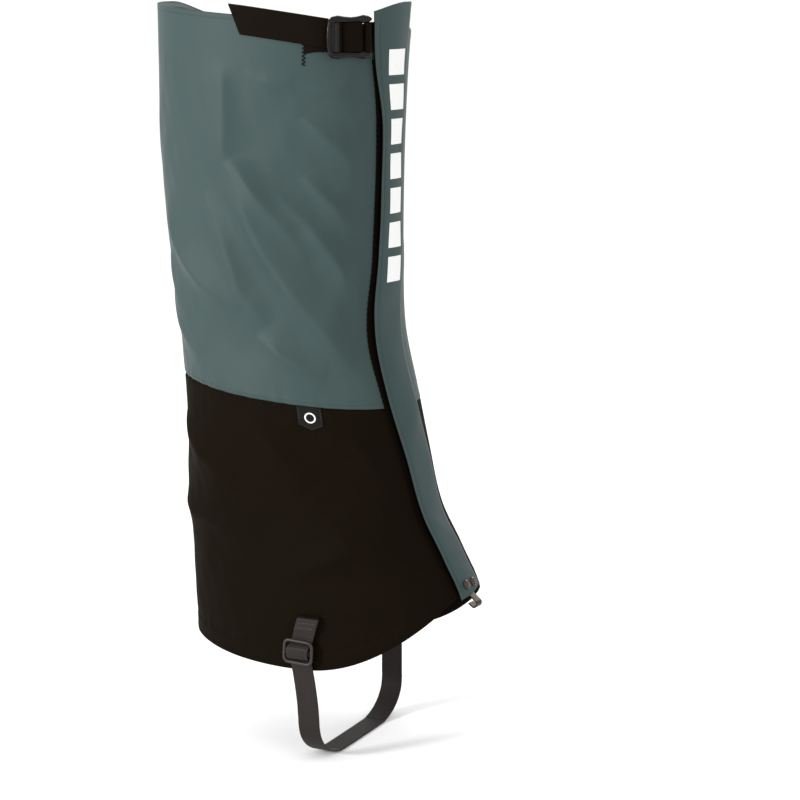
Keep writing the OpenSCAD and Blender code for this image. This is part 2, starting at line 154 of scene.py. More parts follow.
# Each fold: crest through (angle, height), its height and its widths on the rear and front side
FOLDS = (
    (((-93, 408), (-88, 385), (-80, 352), (-65, 318), (-52, 292), (-40, 268)), 2.8, 9, 20),
    (((-91, 410), (-80, 384), (-69, 365), (-59, 343)), 1.3, 6, 9),
    (((-72, 388), (-57, 365), (-44, 338), (-32, 316), (-20, 293)), 1.9, 7, 13),
    (((-143, 382), (-131, 349), (-114, 325), (-93, 305)), 1.5, 8, 14),
    (((-107, 386), (-97, 354), (-92, 322), (-82, 298)), 1.3, 6, 10),
    (((-60, 438), (-49, 424), (-39, 411), (-25, 399)), 1.5, 6, 12),
    (((-60, 399), (-47, 380), (-33, 359)), 1.1, 5, 8),
    (((-88, 291), (-78, 279), (-68, 270), (-56, 264)), 1.0, 5, 9),
    (((-147, 345), (-143, 322), (-131, 296)), 0.5, 8, 12),
    (((-152, 315), (-141, 292), (-124, 270)), 0.7, 7, 11),
    (((-86, 468), (-78, 461), (-68, 461), (-60, 470)), 0.5, 6, 8),
    (((-57, 460), (-50, 455), (-42, 455), (-33, 466)), 0.6, 5, 7),
    (((-96, 486), (-94, 450), (-94, 420), (-95, 396)), 1.1, 20, 8),
    (((-98, 240), (-90, 226), (-82, 208), (-72, 190)), 1.2, 9, 14),
    (((-92, 124), (-78, 138), (-62, 148), (-44, 146), (-28, 138)), 1.1, 8, 12),
    (((-150, 232), (-138, 214), (-122, 200), (-104, 190)), 1.1, 10, 14),
    (((-160, 170), (-140, 160), (-116, 158), (-96, 166)), 0.9, 9, 12),
    (((-80, 117), (-72, 108), (-64, 106), (-56, 110)), 0.5, 6, 8),
    (((-52, 224), (-42, 210), (-34, 192), (-28, 172)), 0.8, 8, 10),
)
# Hollows of the cloth between the folds: (angle, height, depth, half width, half height)
HOLLOWS = (
    (-58, 311, 2.2, 11, 22), (-76, 430, 1.2, 14, 26), (-44, 352, 0.8, 9, 16),
    (-66, 176, 1.0, 22, 20), (-124, 128, 0.8, 30, 16), (-92, 282, 0.9, 12, 14),
)
ARC_ANGLES = np.linspace(-180, 180, 721)
ARC_POINTS = skin(ARC_ANGLES, 330, 0)
ARC_TABLE = np.concatenate(
    [[0], np.cumsum(np.linalg.norm(np.diff(ARC_POINTS, axis=0), axis=1))])


def arc(a):
    """Distance round the leg, in millimetres from the heel."""
    return np.interp(a, ARC_ANGLES, ARC_TABLE)


def crest(a, z, points, height, rear, front):
    """Height at (a, z) of one fold, which is steep behind its crest and falls slowly in front."""
    line = np.array([(arc(p[0]), p[1]) for p in points], float)
    here = np.stack([arc(a), z], -1)
    best = np.full(np.shape(a), 1e9)
    side = np.zeros(np.shape(a))
    along = np.zeros(np.shape(a))
    total = len(line) - 1
    for k in range(total):
        step = line[k + 1] - line[k]
        t = np.clip(((here - line[k]) @ step) / (step @ step), 0, 1)
        off = here - line[k] - t[..., None] * step
        reach = np.hypot(off[..., 0], off[..., 1])
        near = reach < best
        best = np.where(near, reach, best)
        side = np.where(near, off[..., 0] * step[1] - off[..., 1] * step[0], side)
        along = np.where(near, (k + t) / total, along)
    taper = np.sin(np.pi * np.clip(along * 0.97 + 0.015, 0, 1)) ** 0.8
    # A crest runs down the leg, so its front lies on the negative side
    width = np.where(side < 0, front, rear) * (0.75 + 0.5 * along)
    return FOLD_GAIN * height * taper * np.exp(-(best / width) ** 1.4)


def folds(a, z):
    """Folds on the outer side, and their like on the inner side."""
    a, z = np.broadcast_arrays(np.asarray(a, float), np.asarray(z, float))
    a = (a + 180) % 360 - 180
    outer = np.where(a < 0, a, -a - 9)
    high = np.where(a < 0, z, z + 7)
    total = np.zeros(np.shape(a))
    for points, height, rear, front in FOLDS:
        total = total + crest(outer, high, points, height, rear, front)
    for at, level, depth, wide, tall in HOLLOWS:
        total = total - depth * bump(outer - at, wide) * bump(high - level, tall)
    total = total * ease((180 - np.abs(a)) / 28)
    r = np.radians(a)
    waves = (0.5 * np.sin(3 * r + z / 31) + 0.35 * np.sin(5 * r - z / 23 + 1.3)
             + 0.25 * np.sin(9 * r + z / 14 + 0.6) + 0.12 * np.sin(17 * r - z / 9))
    small = 0.10 * np.sin(31 * r + z / 5.3) * np.sin(7 * r - z / 17) \
        + 0.08 * np.sin(23 * r - z / 6.1 + 2) * np.sin(4 * r + z / 29)
    # The inner side lies flatter beside the flap
    flat = 3.2 * bump(a - 32, 22) * bump(z - 402, 62)
    return total + waves + small - flat


def relief(a, z):
    """How far the cloth stands out from the CAD's smooth tube."""
    a, z = np.broadcast_arrays(np.asarray(a, float), np.asarray(z, float))
    at = skin(a, z, 0)
    x, y = at[..., 0], at[..., 1]
    r = np.radians(a)
    seam_up = z - mid_seam(a)
    tunnel_up = z - (rim(a) - TUNNEL_H)
    hem_up = z - hem(a)
    free = ease((curve(FREE_LINE, z) - 3 - y) / 20) + ease((y - 28) / 22) * (y > 0)
    free = np.where(x > curve(FRONT_LINE, z) - 60, free, 1)
    low = 1 - 0.75 * np.exp(-np.abs(seam_up) / 7)
    top = ease(-tunnel_up / 22 + 0.1)
    foot = ease((hem_up - 2) / 30)
    tab = ease((np.hypot((x + 4) / 15, (z - 84) / 26) - 1) / 0.8) + (y > 0)
    body = folds(a, z) * free * low * top * foot * np.clip(tab, 0, 1)
    # Short puckers that the sewing draws up along the seam, the tunnel and the hem
    ripple = np.sin(37 * r + 1.1 * np.sin(5 * r)) + 0.6 * np.sin(61 * r + 2)
    drawn = 0.22 * ripple * np.exp(-np.abs(seam_up) / 6)
    drawn = drawn + 0.05 * ripple * bump(tunnel_up + 6, 9)
    drawn = drawn + 0.14 * ripple * bump(hem_up - 14, 5)
    grooves = -0.45 * bump(seam_up, 1.3)
    grooves = grooves - 0.3 * bump(hem_up - HEM_STITCH, 1.4) + 0.25 * ease((13 - hem_up) / 2)
    heel = 180 - np.abs((a + 180) % 360 - 180)
    grooves = grooves - 0.5 * bump(heel * 1.3, 1.0)
    tube_bulge = 0.5 * bump(tunnel_up - 15, 12) * (0.7 + 0.3 * np.sin(11 * r))
    return body + (drawn + tube_bulge * (y > -10) + grooves) * np.clip(free, 0, 1)


def cloth(a, z, d):
    """Point d outside the draped cloth's inner face."""
    return skin(a, z, d + relief(a, z))


def flap_off(u, z):
    lift = 3.4 + 2.4 * ease((z - 455) / 60) * (1 - u)
    return mix(lift, FABRIC_T + 0.35, ease((u - 0.78) / 0.22))


def flap_point(u, z, d):
    """Point d outside the flap's back: u is 0 at its free edge and 1 at its sewn edge."""
    u, z = np.broadcast_arrays(np.asarray(u, float), np.asarray(z, float))
    y = mix(curve(FREE_LINE, z), curve(SEWN_LINE, z), u)
    inside = np.sin(np.pi * np.clip(u, 0, 1))
    wave = 0.35 * np.sin(z / 19 + 3 * u) + 0.25 * np.sin(z / 8.3 - 4 * u + 1)
    wave = wave + 0.5 * bump(z - 215 - 30 * u, 9) + 0.45 * bump(z - 170 + 24 * u, 7)
    wave = wave * (0.25 + 0.75 * inside) * ease((z - 132) / 20) * ease((512 - z) / 20)
    edge = 0.22 * np.sin(z / 11) * (1 - u) ** 3
    return skin(at_y(y, z), z, flap_off(u, z) + d + wave + edge * ease((z - 135) / 20))


def flap_z(u, v):
    return mix(113 + 7 * u, 506 + 5.5 * u + 2.5 * np.sin(np.pi * u), v)


# --- Mesh builders ---

def new_mesh(name, verts_mm, faces, uv=None, sharp=None):
    """Smooth mesh object from millimetre vertices, with a metric UV per vertex."""
    mesh = bpy.data.meshes.new(name)
    mesh.from_pydata((np.asarray(verts_mm) * MM).tolist(), [], faces)
    mesh.validate()
    mesh.polygons.foreach_set("use_smooth", [True] * len(mesh.polygons))
    if sharp:
        mesh.set_sharp_from_angle(angle=math.radians(sharp))
    if uv is not None:
        layer = mesh.uv_layers.new(name="UVMap")
        index = np.zeros(len(mesh.loops), int)
        mesh.loops.foreach_get("vertex_index", index)
        layer.data.foreach_set("uv", (np.asarray(uv) * MM)[index].ravel())
    mesh.update()
    obj = bpy.data.objects.new(name, mesh)
    bpy.context.scene.collection.objects.link(obj)
    return obj


def lengths(points):
    """Distance along a row of points."""
    return np.concatenate([[0], np.cumsum(np.linalg.norm(np.diff(points, axis=0), axis=1))])


def slab(name, place, nu, nv, d_in, d_out, roll=0.35):
    """Closed sheet between two offsets of place(u, v, d), with rolled edges."""
    u = np.linspace(0, 1, nu + 1)
    v = np.linspace(0, 1, nv + 1)
    across = lengths(place(u, np.full(nu + 1, 0.5), d_out))
    up = lengths(place(np.full(nv + 1, 0.5), v, d_out))
    inner_u, inner_v = u.copy(), v.copy()
    inner_u[[0, -1]] = [roll / across[-1], 1 - roll / across[-1]]
    inner_v[[0, -1]] = [roll / up[-1], 1 - roll / up[-1]]
    grid_u, grid_v = np.meshgrid(inner_u, inner_v, indexing="ij")
    outer = place(grid_u, grid_v, d_out).reshape(-1, 3)
    inner = place(grid_u, grid_v, d_in).reshape(-1, 3)
    m = nv + 1
    loop = [i * m for i in range(nu)]
    loop += [nu * m + j for j in range(nv)]
    loop += [i * m + nv for i in range(nu, 0, -1)]
    loop += list(range(nv, 0, -1))
    loop = np.array(loop)
    edge = place(u[loop // m], v[loop % m], (d_in + d_out) / 2)
    n = len(outer)
    k = (np.arange(nu)[:, None] * m + np.arange(nv)[None, :]).ravel()
    faces = np.stack([k, k + m, k + m + 1, k + 1], -1).tolist()
    faces += np.stack([n + k, n + k + 1, n + k + m + 1, n + k + m], -1).tolist()
    after = np.roll(loop, -1)
    ring = 2 * n + np.arange(len(loop))
    ring_after = np.roll(ring, -1)
    faces += np.stack([loop, ring, ring_after, after], -1).tolist()
    faces += np.stack([ring, n + loop, n + after, ring_after], -1).tolist()
    flat = np.stack(np.meshgrid(across, up, indexing="ij"), -1).reshape(-1, 2)
    uv = np.concatenate([flat, flat, flat[loop]])
    return new_mesh(name, np.concatenate([outer, inner, edge]), faces, uv, sharp=70)


def smooth_path(rows, step):
    """Rows of numbers along a path, rounded by a Catmull-Rom curve and spaced evenly."""
    rows = np.asarray(rows, float)
    padded = np.concatenate([[2 * rows[0] - rows[1]], rows, [2 * rows[-1] - rows[-2]]])
    pieces_per_span = 12
    t = np.linspace(0, 1, pieces_per_span, endpoint=False)[:, None]
    out = []
    for k in range(len(rows) - 1):
        a, b, c, d = padded[k:k + 4]
        out.append(b + 0.5 * t * (c - a + t * (2 * a - 5 * b + 4 * c - d
                                               + t * (3 * (b - c) + d - a))))
    fine = np.concatenate(out + [rows[-1:]])
    where = lengths(fine[:, :3])
    count = max(2, int(round(where[-1] / step)))
    even = np.linspace(0, where[-1], count + 1)
    return np.stack([np.interp(even, where, fine[:, c]) for c in range(rows.shape[1])], -1)


def strip(name, rows, thick, step=0.25, rib=0.95, rib_high=0.1, selvedge=1.5):
    """Webbing along rows of (lower edge x, y, z, upper edge x, y, z), ribbed across."""
    rows = smooth_path(rows, step)
    low, high = rows[:, :3], rows[:, 3:]
    centre = (low + high) / 2
    along = lengths(centre)
    wide = np.linalg.norm(high - low, axis=1)
    across = (high - low) / wide[:, None]
    tangent = np.gradient(centre, axis=0)
    normal = np.cross(tangent, across)
    normal /= np.linalg.norm(normal, axis=1)[:, None]
    width = float(np.median(wide))
    half = thick / 2
    flat = np.array([0, 0.4, 0.9, selvedge, selvedge + 0.4, width / 2])
    flat = np.unique(np.concatenate([flat, width - flat]))
    height = np.where((flat < selvedge) | (flat > width - selvedge), half * 0.86, half)
    height[[0, -1]] = half * 0.55
    section = [(x, y, 1) for x, y in zip(flat, height)]
    section += [(x, -y, -1) for x, y in zip(flat[::-1], height[::-1])]
    wave = rib_high * (np.abs(np.sin(np.pi * along / rib)) - 0.6) if rib else 0 * along
    count = len(section)
    verts = np.zeros((len(rows), count, 3))
    uv = np.zeros((len(rows), count, 2))
    for k, (x, y, face) in enumerate(section):
        middle = selvedge < x < width - selvedge
        lift = y + face * wave * (1.0 if middle else 0.55)
        verts[:, k] = low + across * (wide * x / width)[:, None] + normal * lift[:, None]
        uv[:, k] = np.stack([along, np.full(len(rows), x)], -1)
    base = (np.arange(len(rows) - 1)[:, None] * count).repeat(count, 1)
    k = np.arange(count)[None, :]
    after = (k + 1) % count
    faces = np.stack([base + k, base + count + k, base + count + after, base + after],
                     -1).reshape(-1, 4).tolist()
    last = (len(rows) - 1) * count
    faces.append(list(range(count)))
    faces.append([last + i for i in range(count - 1, -1, -1)])
    return new_mesh(name, verts.reshape(-1, 3), faces, uv.reshape(-1, 2), sharp=60)


def threads(name, runs, radius=0.22, stitch=2.3, pitch=3.1):
    """Sewn stitches along runs of points, each run with its outward directions."""
    verts, faces, uv = [], [], []
    sides = 6
    ring = [(math.cos(t), math.sin(t)) for t in np.radians(np.arange(0, 360, 360 / sides))]
    stations = ((-0.5, 0.15, -0.25), (-0.38, 0.8, -0.02), (0, 1.0, 0.12), (0.38, 0.8, -0.02),
                (0.5, 0.15, -0.25))
    for points, outward in runs:
        where = lengths(points)
        for start in np.arange(pitch * 0.3, where[-1] - stitch * 0.7, pitch):
            mid = start + stitch / 2
            p = np.array([np.interp(mid, where, points[:, c]) for c in range(3)])
            q = np.array([np.interp(mid + 0.4, where, points[:, c]) for c in range(3)])
            n = np.array([np.interp(mid, where, outward[:, c]) for c in range(3)])
            t = (q - p) / np.linalg.norm(q - p)
            b = np.cross(n, t)
            b /= np.linalg.norm(b)
            n = np.cross(t, b)
            first = len(verts)
            for along, size, rise in stations:
                at = p + t * along * stitch + n * rise * radius * 2
                for c, s in ring:
                    verts.append(at + radius * size * (b * c + n * s))
                    uv.append((along * stitch + mid, c))
            for j in range(len(stations) - 1):
                for i in range(sides):
                    k = first + j * sides + i
                    o = first + j * sides + (i + 1) % sides
                    faces.append((k, o, o + sides, k + sides))
            faces.append(tuple(first + i for i in range(sides - 1, -1, -1)))
            end = first + (len(stations) - 1) * sides
            faces.append(tuple(end + i for i in range(sides)))
    return new_mesh(name, np.array(verts), faces, np.array(uv))


def rod(points):
    """Closed round bar through points (x, y, z, radius), as vertices and faces."""
    points = np.array(points, float)
    centre, radius = points[:, :3], points[:, 3]
    tangent = np.gradient(centre, axis=0)
    tangent /= np.linalg.norm(tangent, axis=1)[:, None]
    aside = np.array([0.1, 1.0, 0.13])
    b = np.cross(tangent, aside)
    b /= np.linalg.norm(b, axis=1)[:, None]
    c = np.cross(tangent, b)
    first, last = centre[0] - tangent[0] * radius[0], centre[-1] + tangent[-1] * radius[-1]
    rings = [(first, 0.45 * radius[0], 0)]
    rings += [(centre[k], radius[k], k) for k in range(len(points))]
    rings += [(last, 0.45 * radius[-1], -1)]
    turn = np.radians(np.arange(0, 360, 22.5))
    count = len(turn)
    verts = np.concatenate([at + r * (np.cos(turn)[:, None] * b[k] + np.sin(turn)[:, None] * c[k])
                            for at, r, k in rings])
    faces = []
    for j in range(len(rings) - 1):
        for i in range(count):
            k, o = j * count + i, j * count + (i + 1) % count
            faces.append((k, o, o + count, k + count))
    faces.append(tuple(range(count - 1, -1, -1)))
    faces.append(tuple((len(rings) - 1) * count + i for i in range(count)))
    return verts, faces


def moulding(name, rods, place, voxel=0.3):
    """Bars fused into one moulded body with soft fillets, then placed by place(points)."""
    verts, faces = [], []
    for bar in rods:
        here, quads = rod(bar)
        shift = sum(len(v) for v in verts)
        verts.append(here)
        faces += [tuple(i + shift for i in quad) for quad in quads]
    mesh = bpy.data.meshes.new(name)
    mesh.from_pydata(np.concatenate(verts).tolist(), [], faces)
    obj = bpy.data.objects.new(name, mesh)
    bpy.context.scene.collection.objects.link(obj)
    fuse = obj.modifiers.new("fuse", "REMESH")
    fuse.mode = "VOXEL"
    fuse.voxel_size = voxel
    soften = obj.modifiers.new("soften", "SMOOTH")
    soften.factor = 0.5
    soften.iterations = 7
    bpy.context.view_layer.update()
    done = bpy.data.meshes.new_from_object(obj.evaluated_get(
        bpy.context.evaluated_depsgraph_get()))
    obj.modifiers.clear()
    obj.data = done
    points = np.zeros(len(done.vertices) * 3)
    done.vertices.foreach_get("co", points)
    done.vertices.foreach_set("co", (place(points.reshape(-1, 3)) * MM).ravel())
    done.polygons.foreach_set("use_smooth", [True] * len(done.polygons))
    done.update()
    return obj


def cloth_run(angles, heights, d=FABRIC_T):
    """A stitched line on the cloth, with its outward directions."""
    points = cloth(angles, heights, d)
    return points, cloth(angles, heights, d + 1) - points


# --- Materials ---

def shader(name, colour, rough, specular, sheen=0.0, metallic=0.0, coat=0.0):
    """New node material. Returns it with its nodes, links and shader node."""
    mat = bpy.data.materials.new(name)
    mat.use_nodes = True
    nodes, links = mat.node_tree.nodes, mat.node_tree.links
    main = nodes["Principled BSDF"]
    main.inputs["Base Color"].default_value = (*colour, 1)
    main.inputs["Roughness"].default_value = rough
    main.inputs["Specular IOR Level"].default_value = specular
    main.inputs["Metallic"].default_value = metallic
    main.inputs["Sheen Weight"].default_value = sheen
    main.inputs["Coat Weight"].default_value = coat
    return mat, nodes, links, main


def add(nodes, kind, **inputs):
    node = nodes.new(kind)
    for key, value in inputs.items():
        node.inputs[key.replace("_", " ")].default_value = value
    return node


def calc(nodes, links, operation, a, b=None, c=None):
    """Math node on sockets or numbers."""
    node = nodes.new("ShaderNodeMath")
    node.operation = operation
    for k, value in enumerate((a, b, c)):
        if value is None:
            continue
        if hasattr(value, "links"):
            links.new(value, node.inputs[k])
        else:
            node.inputs[k].default_value = value
    return node.outputs[0]


def noise(nodes, links, scale, detail=3.0, where=None):
    node = add(nodes, "ShaderNodeTexNoise", Scale=scale, Detail=detail)
    if where is None:
        where = nodes.new("ShaderNodeTexCoord").outputs["Object"]
    links.new(where, node.inputs["Vector"])
    return node.outputs["Fac"]


def tint(nodes, links, main, colour, parts):
    """Varies a base colour: parts are (socket from 0 to 1, share that it changes)."""
    level = None
    for socket, share in parts:
        here = calc(nodes, links, "MULTIPLY_ADD", socket, 2 * share, 1 - share)
        level = here if level is None else calc(nodes, links, "MULTIPLY", level, here)
    scale = nodes.new("ShaderNodeVectorMath")
    scale.operation = "SCALE"
    scale.inputs[0].default_value = colour
    links.new(level, scale.inputs["Scale"])
    links.new(scale.outputs["Vector"], main.inputs["Base Color"])


def relief_bump(nodes, links, main, height, distance, strength=1.0):
    node = add(nodes, "ShaderNodeBump", Strength=strength, Distance=distance)
    links.new(height, node.inputs["Height"])
    links.new(node.outputs["Normal"], main.inputs["Normal"])
    return node


def uv_threads(nodes, links, pitch_u, pitch_v):
    """Sine threads along both UV directions, as two sockets from 0 to 1."""
    split = nodes.new("ShaderNodeSeparateXYZ")
    links.new(nodes.new("ShaderNodeTexCoord").outputs["UV"], split.inputs[0])
    out = []
    for axis, pitch in ((0, pitch_u), (1, pitch_v)):
        turn = calc(nodes, links, "MULTIPLY", split.outputs[axis], 2 * math.pi / pitch)
        wave = calc(nodes, links, "SINE", turn)
        out.append(calc(nodes, links, "MULTIPLY_ADD", wave, 0.5, 0.5))
    return out[0], out[1]


def woven(name, colour, rough, specular, pitch, weave, patchy, sheen=0.0, soft=0.05):
    """Plain-woven cloth: crossing threads, slight mottling and shallow soft dents."""
    mat, nodes, links, main = shader(name, colour, rough, specular, sheen)
    warp, weft = uv_threads(nodes, links, pitch, pitch)
    over = calc(nodes, links, "MULTIPLY", warp, weft)
    under = calc(nodes, links, "MULTIPLY", calc(nodes, links, "SUBTRACT", 1.0, warp),
                 calc(nodes, links, "SUBTRACT", 1.0, weft))
    plain = calc(nodes, links, "ADD", over, under)
    broad = noise(nodes, links, 9.0, 3.0)
    fine = noise(nodes, links, 900.0, 2.0)
    tint(nodes, links, main, colour, [(broad, patchy), (plain, weave), (fine, weave * 0.8)])
    high = calc(nodes, links, "MULTIPLY_ADD", fine, 0.8, plain)
    first = relief_bump(nodes, links, main, high, 0.00006, 0.6)
    dents = relief_bump(nodes, links, main, noise(nodes, links, 55.0, 4.0), 0.0006, soft)
    links.new(dents.outputs["Normal"], first.inputs["Normal"])
    links.new(first.outputs["Normal"], main.inputs["Normal"])
    gloss = calc(nodes, links, "MULTIPLY_ADD", broad, 0.12, rough - 0.06)
    links.new(gloss, main.inputs["Roughness"])
    return mat


def ribbed(name, colour, rough, specular, pitch=0.00095, sheen=0.1):
    """Webbing: weft ribs across, warp threads along and patchy wear."""
    mat, nodes, links, main = shader(name, colour, rough, specular, sheen)
    ribs, lines = uv_threads(nodes, links, pitch, 0.0006)
    fuzz = noise(nodes, links, 1400.0, 2.0)
    worn = noise(nodes, links, 60.0, 3.0)
    tint(nodes, links, main, colour, [(ribs, 0.22), (lines, 0.12), (fuzz, 0.25), (worn, 0.15)])
    high = calc(nodes, links, "ADD", ribs, calc(nodes, links, "MULTIPLY", lines, 0.6))
    high = calc(nodes, links, "MULTIPLY_ADD", fuzz, 0.7, high)
    relief_bump(nodes, links, main, high, 0.00012, 0.7)
    return mat


def pile(name, colour, rough):
    """Hook-and-loop tape: a dense fuzz of loops."""
    mat, nodes, links, main = shader(name, colour, rough, 0.03)
    cells = add(nodes, "ShaderNodeTexVoronoi", Scale=1500.0)
    links.new(nodes.new("ShaderNodeTexCoord").outputs["Object"], cells.inputs["Vector"])
    spots = cells.outputs["Distance"]
    fuzz = noise(nodes, links, 2200.0, 2.0)
    tint(nodes, links, main, colour, [(spots, 0.45), (fuzz, 0.35)])
    relief_bump(nodes, links, main, calc(nodes, links, "ADD", spots, fuzz), 0.0004, 0.8)
    return mat


def moulded(name, colour, rough, specular, grain=2600.0, coat=0.0):
    """Moulded plastic: fine spark-eroded grain and slight handling marks."""
    mat, nodes, links, main = shader(name, colour, rough, specular, coat=coat)
    speck = noise(nodes, links, grain, 2.0)
    marks = noise(nodes, links, 140.0, 4.0)
    tint(nodes, links, main, colour, [(marks, 0.18), (speck, 0.08)])
    gloss = calc(nodes, links, "MULTIPLY_ADD", marks, 0.22, rough - 0.11)
    links.new(gloss, main.inputs["Roughness"])
    relief_bump(nodes, links, main, speck, 0.00004, 0.5)
    return mat


def metal(name, colour, rough):
    """Plated metal: rubbed bright in places, with fine scratches."""
    mat, nodes, links, main = shader(name, colour, rough, 0.5, metallic=1.0)
    rub = noise(nodes, links, 260.0, 5.0)
    scratch = noise(nodes, links, 1800.0, 2.0)
    tint(nodes, links, main, colour, [(rub, 0.2), (scratch, 0.08)])
    links.new(calc(nodes, links, "MULTIPLY_ADD", rub, 0.25, rough - 0.12),
              main.inputs["Roughness"])
    relief_bump(nodes, links, main, scratch, 0.00003, 0.4)
    return mat


MATERIALS = {
    "upper_fabric": woven("coated_teal_fabric", (0.0305, 0.0515, 0.0500), 0.46, 0.14, 0.00055,
                          0.05, 0.05, soft=0.10),
    "lower_fabric": woven("heavy_black_fabric", (0.0046, 0.0027, 0.0010), 0.72, 0.03, 0.0008,
                          0.30, 0.10, soft=0.10),
    # The tape's black is matched to the dark band beside the flap, which holds the flap's shadow
    # too, so it is partly painted shade.
    "tape": pile("black_tape", (0.0028, 0.0018, 0.0009), 0.9),
    "label": woven("woven_label", (0.006, 0.005, 0.004), 0.7, 0.1, 0.0004, 0.3, 0.1),
    "webbing": ribbed("black_webbing", (0.0040, 0.0022, 0.0007), 0.62, 0.04, sheen=0.0),
    "instep_webbing": ribbed("grey_instep_webbing", (0.0165, 0.0130, 0.0118), 0.5, 0.12,
                             pitch=0.0012, sheen=0.0),
    "buckle_plastic": moulded("black_acetal", (0.0026, 0.0014, 0.0008), 0.30, 0.20),
    "slider_plastic": moulded("grey_acetal", (0.021, 0.0160, 0.0132), 0.38, 0.3),
    "hook_metal": metal("dull_bronze", (0.037, 0.027, 0.021), 0.36),
    "rivet_metal": metal("polished_rivet", (0.075, 0.055, 0.043), 0.2),
    "print": woven("reflective_print", (0.70, 0.70, 0.69), 0.55, 0.3, 0.00055, 0.03, 0.02),
    "thread_teal": ribbed("teal_thread", (0.023, 0.041, 0.039), 0.6, 0.12, pitch=0.0007),
    "thread": ribbed("black_thread", (0.0045, 0.0035, 0.0025), 0.8, 0.03, pitch=0.0007,
                     sheen=0.0),
    "thread_grey": ribbed("grey_thread", (0.055, 0.048, 0.045), 0.6, 0.2, pitch=0.0007),
}


def finish_piece(obj, material, slot, *nodes):
    """Gives a piece its material and hides the CAD nodes that it stands for; slot is not used."""
    obj.data.materials.clear()
    obj.data.materials.append(MATERIALS[material])
    if nodes:
        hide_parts(*nodes)
    return obj


def on_leg(obj, material, slot, *nodes):
    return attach(finish_piece(obj, material, slot, *nodes), "leg_tube")


# --- Leg tube ---

def tube_patch(start, stop, low, high, shift=None):
    """place(u, v, d) on the cloth between two angles and two edges."""
    def place(u, v, d):
        z0 = mix(low(start(0)), high(start(0)), v)
        a = mix(start(z0), stop(z0), u)
        z = mix(low(a), high(a), v)
        extra = 0 if shift is None else shift(a, z)
        return cloth(a, z, d + extra)
    return place


def outer_front(z):
    return at_y(-FRONT_GAP, z)


def inner_front(z):
    return at_y(FRONT_GAP, z)


def heel_rear(z):
    return -180 + 0 * z


def heel_fore(z):
    return 180 + 0 * z


def once_round(z):
    return 360 + at_y(-FRONT_GAP, z)


def upper_shift(a, z):
    """The upper fabric is folded under along the colour seam, and again along the rim."""
    seam = 0.35 * np.exp(-np.abs(z - mid_seam(a)) / 1.4)
    return seam + 0.1 * ease((z - rim(a) + 4) / 3)


def lower_shift(a, z):
    """The lower fabric runs on behind the upper one."""
    return -0.95 * ease((z - mid_seam(a) + 1.3) / 1.2)


def lower_top(a):
    return mid_seam(a) + 6


# Faces round half the leg, and up each panel
HALF_FACES = 176
UPPER_FACES = 150
LOWER_FACES = 110


def panel(name, start, stop, low, high, shift, faces_up, fabric):
    """One of the leg's four fabric panels."""
    piece = slab(name + "_fabric", tube_patch(start, stop, low, high, shift),
                 HALF_FACES, faces_up, 0, FABRIC_T)
    return on_leg(piece, fabric, fabric, name + "_panel")


upper_outer = panel("upper_outer", heel_rear, outer_front, mid_seam, rim, upper_shift,
                    UPPER_FACES, "upper_fabric")
upper_inner = panel("upper_inner", inner_front, heel_fore, mid_seam, rim, upper_shift,
                    UPPER_FACES, "upper_fabric")
lower_outer = panel("lower_outer", heel_rear, outer_front, hem, lower_top, lower_shift,
                    LOWER_FACES, "lower_fabric")
lower_inner = panel("lower_inner", inner_front, heel_fore, hem, lower_top, lower_shift,
                    LOWER_FACES, "lower_fabric")

back_tape = slab("back_seam_binding", tube_patch(
    lambda z: 175.5 + 0 * z, lambda z: 184.5 + 0 * z,
    lambda a: HEM_Z + 26 + 0 * a, lambda a: RIM_Z - 34 + 0 * a), 8, 220, -2.1, -1.55)
on_leg(back_tape, "label", "tape", "back_seam_tape")
seam_tape = slab("mid_seam_binding", tube_patch(
    inner_front, once_round, lambda a: mid_seam(a) - 6.5, lambda a: mid_seam(a) + 7.5),
    340, 10, -1.5, -1.05)
on_leg(seam_tape, "label", "tape", "mid_seam_tape")
hem_band = slab("hem_facing_band", tube_patch(
    inner_front, once_round, lambda a: hem(a) + 0.6, lambda a: hem(a) + 13.5),
    340, 8, -0.95, -0.1)
on_leg(hem_band, "lower_fabric", "lower_fabric", "hem_facing")

EXIT_A = -59


def tunnel_face(u, v, d):
    """The tunnel's facing, which bellies inwards round the strap."""
    a = mix(at_y(8, RIM_Z), 360 + EXIT_A - 2, u)
    sag = 0.55 + 2.2 * ease(v * (1 - v) * 9)
    return skin(a, rim(a) - 1 - (TUNNEL_H - 1) * (1 - v), d - sag)


tunnel = slab("top_tunnel_lining", tunnel_face, 260, 24, 0, 0.4)
on_leg(tunnel, "upper_fabric", "upper_fabric", "top_tunnel_facing")


# Both halves of the closure start at this height
TAPE_FOOT_Z = 135
LOOP_TAPE_TOP_Z = 474.5
HOOK_TAPE_TOP_Z = 466


def loop_place(u, v, d):
    z = mix(TAPE_FOOT_Z, LOOP_TAPE_TOP_Z, v)
    # The tape shows past the flap's free edge in a strip whose width follows the dark band beside
    # the flap. That band is partly black tape and partly the flap's shadow, so the strip is
    # partly painted shade, most of all where it widens round z 285.
    edge = curve(FREE_LINE, z) - mix(2.6, 0.2, ease((z - 425) / 50))
    edge = edge - 1.1 * bump(z - 285, 26)
    ragged = 0.25 * np.sin(z * 1.7) * (1 - u)
    a = mix(at_y(edge + ragged, z), at_y(np.minimum(edge + 22, -1.4), z), u)
    return cloth(a, z, d + 0.12 * np.sin(z * 2.1) * np.sin(u * 40))


loop_strip = slab("loop_tape_pile", loop_place, 22, 300, FABRIC_T + 0.1, 1.85, roll=0.5)
on_leg(loop_strip, "tape", "tape", "loop_tape")

